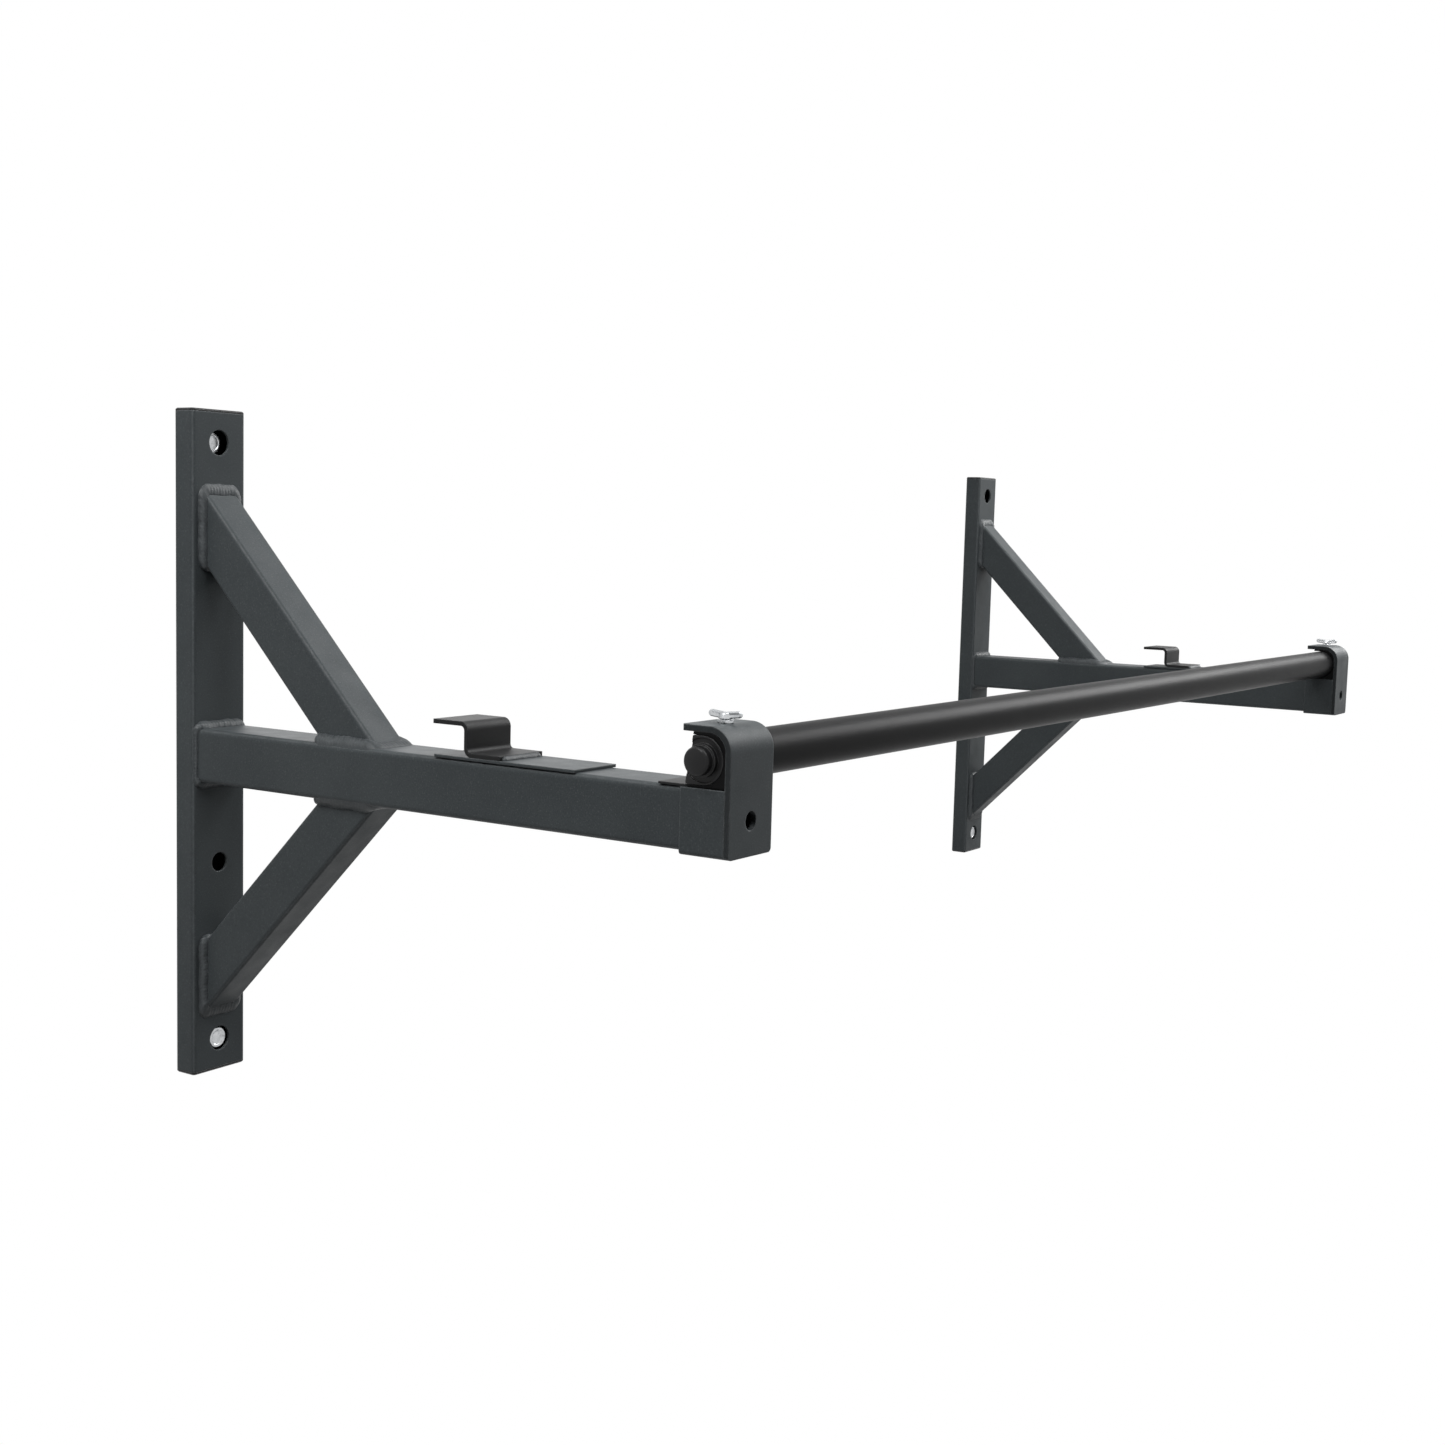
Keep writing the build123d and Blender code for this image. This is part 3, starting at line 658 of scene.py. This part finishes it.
def wall_bolt(shape, seat, turn):
    """Bolt along +Z into the wall at z = 0, its head turned and seated at a distance in front."""
    start = len(shape.points)
    shape.loft(hex_head(BOLT_FLATS, BOLT_HEAD_HEIGHT))
    spin = Matrix.Rotation(math.pi, 4, "X") @ Matrix.Rotation(turn, 4, "Z")
    shape.move(Matrix.Translation((0, 0, -seat)) @ spin, start)
    neck = [
        circle(BOLT_RADIUS, -seat),
        circle(BOLT_RADIUS, -BOLT_NECK_BEVEL),
        circle(BOLT_RADIUS - BOLT_NECK_BEVEL, 0.0),
    ]
    thread_end = BOLT_IN_WALL - BOLT_TIP_BEVEL
    rows = thread(
        BOLT_THREAD_RADIUS, BOLT_THREAD_DEPTH, BOLT_PITCH, BOLT_THREAD_START, thread_end, BOLT_ROWS_PER_PITCH,
    )
    shape.loft(neck + rows + [circle(BOLT_TIP_RADIUS, BOLT_IN_WALL)])


def wall_bolts(x):
    """Upper and lower bolt of one bracket."""
    shape = Shape()
    into_wall = Matrix.Rotation(-math.pi / 2, 4, "X")
    for z, seat, turn in ((FIXING_Z, UPPER_SEAT, UPPER_TURN), (-FIXING_Z, LOWER_SEAT, LOWER_TURN)):
        start = len(shape.points)
        wall_bolt(shape, seat, turn)
        shape.move(Matrix.Translation((x, 0, z)) @ into_wall, start)
    return shape


def wing_outline(inset, across, side):
    """Tilted stadium of one wing, at an inset from its outline and a share of its half thickness."""
    points = []
    radius = WING_RADIUS - inset
    for k in range(2 * WING_POINTS):
        half = k // WING_POINTS
        angle = -math.pi / 2 + math.pi * (k % WING_POINTS) / (WING_POINTS - 1) + math.pi * half
        centre = WING_REACH if half == 0 else 0.0
        along = centre + radius * math.cos(angle)
        up = radius * math.sin(angle)
        root = 1.0 + WING_ROOT_SWELL * max(0.0, 1.0 - along / WING_ROOT_LENGTH)
        turned = Matrix.Rotation(WING_TILT, 2) @ Vector((along, up))
        sideways = across * WING_HALF_THICK * root
        points.append((sideways, side * (WING_START + turned.x), HUB_RISE + WING_RADIUS + turned.y))
    return points if side > 0 else points[::-1]


def wing_screw(x):
    """Wing screw standing on the clamp pad: tip, thread, hub and two wings with a soft rim."""
    shape = Shape()
    tip = [
        circle(SCREW_TIP_RADIUS - SCREW_TIP_BEVEL, -SCREW_TIP),
        circle(SCREW_TIP_RADIUS, -SCREW_TIP / 2),
        circle(SCREW_TIP_RADIUS, 0.0),
    ]
    rows = thread(SCREW_RADIUS, SCREW_THREAD_DEPTH, SCREW_PITCH, 0.0, HUB_RISE, SCREW_ROWS_PER_PITCH)
    hub = [circle(radius, HUB_RISE + z) for radius, z in HUB_PROFILE]
    shape.loft(tip + rows + hub)
    for side in (1, -1):
        rings = [wing_outline(inset, -across, side) for inset, across in reversed(WING_RIM)]
        rings += [wing_outline(inset, across, side) for inset, across in WING_RIM[1:]]
        shape.loft(rings)
    shape.move(Matrix.Translation((x, BAR_Y, SCREW_Z)))
    return shape


def lip_nut(x):
    """Hex nut with chamfered corners on both sides, and its bore."""
    shape = Shape()
    face = NUT_FLATS / 2 * HEX_FACE_SHARE
    made = shape.loft([
        circle(NUT_BORE, NUT_BEVEL, HEX_POINTS),
        circle(NUT_BORE + NUT_BEVEL, 0.0, HEX_POINTS),
        circle(face, 0.0, HEX_POINTS),
        hexagon(NUT_FLATS, 0.0, face, -1),
        hexagon(NUT_FLATS, NUT_HEIGHT, face),
        circle(face, NUT_HEIGHT, HEX_POINTS),
        circle(NUT_BORE + NUT_BEVEL, NUT_HEIGHT, HEX_POINTS),
        circle(NUT_BORE, NUT_HEIGHT - NUT_BEVEL, HEX_POINTS),
    ], capped=False)
    shape.bridge(made[-1], made[0])
    shape.move(Matrix.Translation((x, BAR_Y, LIP_TOP)))
    return shape


# Bar end plugs
def plug_reach(angle):
    """Distance from the bar's axis to the plug's outline: round in front, flat and slanted behind."""
    along, up = math.cos(angle), math.sin(angle)
    if along <= 0.0:
        return BAR_RADIUS
    to_side = BAR_RADIUS / max(abs(up), TINY)
    lean = along + PLUG_SLANT * up
    return min(to_side, PLUG_BACK / lean) if lean > 0.0 else to_side


def plug_level(radius):
    """Level of the stepped plug's end at a distance from its axis."""
    if radius > RECESS_RADIUS:
        return PLUG_TOP
    return PLUG_FLOOR if radius > COLLAR_RADIUS else COLLAR_TOP


def plug_steps():
    """Radius and level of each ring from the rim to the knob's middle, with softened edges."""
    fine = PLUG_FINE
    rim_to_floor = [
        (RECESS_RADIUS + 3 * fine, PLUG_TOP),
        (RECESS_RADIUS + fine, PLUG_TOP - fine),
        (RECESS_RADIUS, PLUG_TOP - 3 * fine),
        (RECESS_RADIUS, PLUG_FLOOR + 2 * fine),
        (RECESS_RADIUS - 2 * fine, PLUG_FLOOR),
    ]
    collar = [
        (COLLAR_RADIUS + fine, PLUG_FLOOR),
        (COLLAR_RADIUS, PLUG_FLOOR + fine),
        (COLLAR_RADIUS, COLLAR_TOP - 5 * fine),
        (COLLAR_RADIUS - 1.5 * fine, COLLAR_TOP - 1.5 * fine),
        (COLLAR_RADIUS - 5 * fine, COLLAR_TOP),
    ]
    knob = [
        (KNOB_RADIUS + 2 * fine, COLLAR_TOP),
        (KNOB_RADIUS, COLLAR_TOP + 2 * fine),
        (KNOB_RADIUS, KNOB_TOP - 14 * fine),
        (KNOB_RADIUS - fine, KNOB_TOP - 11 * fine),
        (KNOB_RADIUS - 10 * fine, KNOB_TOP - 2 * fine),
        (KNOB_RADIUS - 14 * fine, KNOB_TOP),
        (3 * fine, KNOB_TOP),
    ]
    return rim_to_floor + collar + knob


def bar_plug(side):
    """Stepped plug with its axis along the bar and its knob to the outside; side is -1 or 1."""
    insert = [
        (INSERT_RADIUS - 2 * PLUG_FINE, -PLUG_INSERT),
        (INSERT_RADIUS, 4 * PLUG_FINE - PLUG_INSERT),
        (INSERT_RADIUS, 0.0),
    ]
    small = RIM_EDGE_SHARE * PLUG_RIM_EDGE
    rim = [(0.0, PLUG_TOP - PLUG_RIM_EDGE), (small, PLUG_TOP - small), (PLUG_RIM_EDGE, PLUG_TOP)]
    steps = plug_steps()
    rings = [[] for _ in range(len(insert) + 1 + len(rim) + len(steps))]
    for i in range(PLUG_POINTS):
        angle = 2 * math.pi * i / PLUG_POINTS
        reach = plug_reach(angle)
        top = plug_level(reach - PLUG_RIM_EDGE)
        has_rim = top == PLUG_TOP
        edge = reach - PLUG_RIM_EDGE if has_rim else reach
        profile = insert + [(reach, 0.0)]
        profile += [(reach - inset, level) if has_rim else (edge, top) for inset, level in rim]
        profile += [(radius, level) if radius < edge else (edge, top) for radius, level in steps]
        for ring, (radius, level) in zip(rings, profile):
            ring.append((level, radius * math.cos(angle), radius * math.sin(angle)))
    shape = Shape()
    shape.loft(rings)
    outwards = Matrix.Diagonal((side, 1, 1, 1))
    shape.move(Matrix.Translation((side * BAR_END, BAR_Y, BAR_Z)) @ outwards)
    return shape


# Pieces that stand for CAD nodes
for side, x in SIDES:
    welds = weld_beads(x, WELD_SEEDS[side])
    piece(f"{side}_rippled_weld", welds, weld_coat, "frame", f"{side}_weld_beads", WELD_SMOOTH)
for side, x in SIDES:
    bolts = wall_bolts(x)
    piece(f"{side}_threaded_bolts", bolts, zinc_plate, "frame", f"{side}_wall_bolts", HEX_SMOOTH)
    screw = wing_screw(x)
    screw_node = f"{side}_wing_screw"
    piece(f"{side}_cast_wing_screw", screw, zinc_plate, screw_node, screw_node, SCREW_SMOOTH)
    plug = bar_plug(math.copysign(1, x))
    plug_node = f"{side}_bar_plug"
    piece(f"{side}_moulded_plug", plug, black_plastic, "bar", plug_node, PLUG_SMOOTH)
    nut = lip_nut(x)
    piece(f"{side}_chamfered_nut", nut, zinc_plate, "frame", f"{side}_lip_nut", HEX_SMOOTH)


# Stage: floor, wall, light and camera
def seen_directly(tree):
    """1 for camera, glossy and transmission rays."""
    path = tree.nodes.new("ShaderNodeLightPath")
    seen = math_node(tree, "MAXIMUM", path.outputs["Is Camera Ray"], path.outputs["Is Glossy Ray"])
    return math_node(tree, "MAXIMUM", seen, path.outputs["Is Transmission Ray"])


def glow_over(tree, share, under):
    """Makes a surface of a shader with a share of plain white light over it."""
    glow = add(tree, "ShaderNodeEmission", Strength=1.0)
    blend = tree.nodes.new("ShaderNodeMixShader")
    tree.links.new(share, blend.inputs["Fac"])
    tree.links.new(under, blend.inputs[1])
    tree.links.new(glow.outputs["Emission"], blend.inputs[2])
    tree.links.new(blend.outputs["Shader"], tree.nodes["Material Output"].inputs["Surface"])


def stage_sheet(name, corners, mat):
    mesh = bpy.data.meshes.new(name)
    mesh.from_pydata(corners, [], [(0, 1, 2, 3)])
    mesh.materials.append(mat)
    obj = bpy.data.objects.new(name, mesh)
    bpy.context.scene.collection.objects.link(obj)


def make_floor():
    """Pale floor below the bar; it takes the object's shadow and fades to white far away."""
    mat, tree, shader = material("studio_floor")
    place = tree.nodes.new("ShaderNodeTexCoord").outputs["Object"]
    tone = mix_colour(tree, noise(tree, place, *FLOOR_CLOUD), *FLOOR_TONES)
    tree.links.new(tone, shader.inputs["Base Color"])
    shader.inputs["Roughness"].default_value = FLOOR_ROUGH
    shader.inputs["Specular IOR Level"].default_value = 0.0
    away = tree.nodes.new("ShaderNodeVectorMath")
    away.operation = "LENGTH"
    tree.links.new(place, away.inputs[0])
    glow = remap(tree, away.outputs["Value"], FLOOR_FADE, (FLOOR_GLOW, 1.0))
    glow_over(tree, math_node(tree, "MULTIPLY", seen_directly(tree), glow), shader.outputs["BSDF"])
    corners = [(-1, -1), (1, -1), (1, 1), (-1, 1)]
    stage_sheet("studio_floor", [(x * FLOOR_HALF, y * FLOOR_HALF, FLOOR_Z) for x, y in corners], mat)


def make_wall():
    """White wall that the bolts go into. It is clear from behind and lets all light through."""
    mat, tree, shader = material("studio_wall")
    tree.nodes.remove(shader)
    clear = tree.nodes.new("ShaderNodeBsdfTransparent")
    behind = tree.nodes.new("ShaderNodeNewGeometry").outputs["Backfacing"]
    in_front = math_node(tree, "SUBTRACT", 1.0, behind)
    glow_over(tree, math_node(tree, "MULTIPLY", seen_directly(tree), in_front), clear.outputs["BSDF"])
    corners = [(-WALL_HALF, FLOOR_Z), (WALL_HALF, FLOOR_Z), (WALL_HALF, WALL_TOP), (-WALL_HALF, WALL_TOP)]
    stage_sheet("studio_wall", [(x, WALL_Y, z) for x, z in corners], mat)


def make_world():
    """White surroundings that light the object only a little."""
    world = bpy.data.worlds.new("studio")
    bpy.context.scene.world = world
    world.use_nodes = True
    tree = world.node_tree
    back = tree.nodes["Background"]
    back.inputs["Color"].default_value = (1, 1, 1, 1)
    strength = remap(tree, seen_directly(tree), (0.0, 1.0), (WORLD_LEVEL, 1.0))
    tree.links.new(strength, back.inputs["Strength"])


def make_lamp(name, place, target, size, power):
    data = bpy.data.lights.new(name, "AREA")
    data.shape = "RECTANGLE"
    data.size, data.size_y = size
    data.energy = power
    obj = bpy.data.objects.new(name, data)
    aim = Vector(target) - Vector(place)
    obj.matrix_world = Matrix.Translation(place) @ aim.to_track_quat("-Z", "Y").to_matrix().to_4x4()
    bpy.context.scene.collection.objects.link(obj)


def make_camera():
    """Camera at the photo's viewing angle: turned by yaw, tipped down by pitch and rolled."""
    level_ahead = Vector((math.cos(CAMERA_YAW), math.sin(CAMERA_YAW), 0.0))
    ahead = level_ahead * math.cos(CAMERA_PITCH) - Z * math.sin(CAMERA_PITCH)
    level_right = ahead.cross(Z).normalized()
    level_up = level_right.cross(ahead)
    right = level_right * math.cos(CAMERA_ROLL) + level_up * math.sin(CAMERA_ROLL)
    up = level_up * math.cos(CAMERA_ROLL) - level_right * math.sin(CAMERA_ROLL)
    data = bpy.data.cameras.new("photo_view")
    data.sensor_fit = "HORIZONTAL"
    data.sensor_width = SENSOR_WIDTH
    data.lens = SENSOR_WIDTH * CAMERA_FOCAL / PHOTO_WIDTH
    data.clip_start = CLIP_START
    obj = bpy.data.objects.new("photo_view", data)
    turn = Matrix((right, up, -ahead)).transposed().to_4x4()
    obj.matrix_world = Matrix.Translation(CAMERA_PLACE) @ turn
    bpy.context.scene.collection.objects.link(obj)
    bpy.context.scene.camera = obj


make_floor()
make_wall()
make_world()
for settings in LAMPS:
    make_lamp(*settings)
make_camera()
bpy.context.scene.view_settings.view_transform = "Standard"
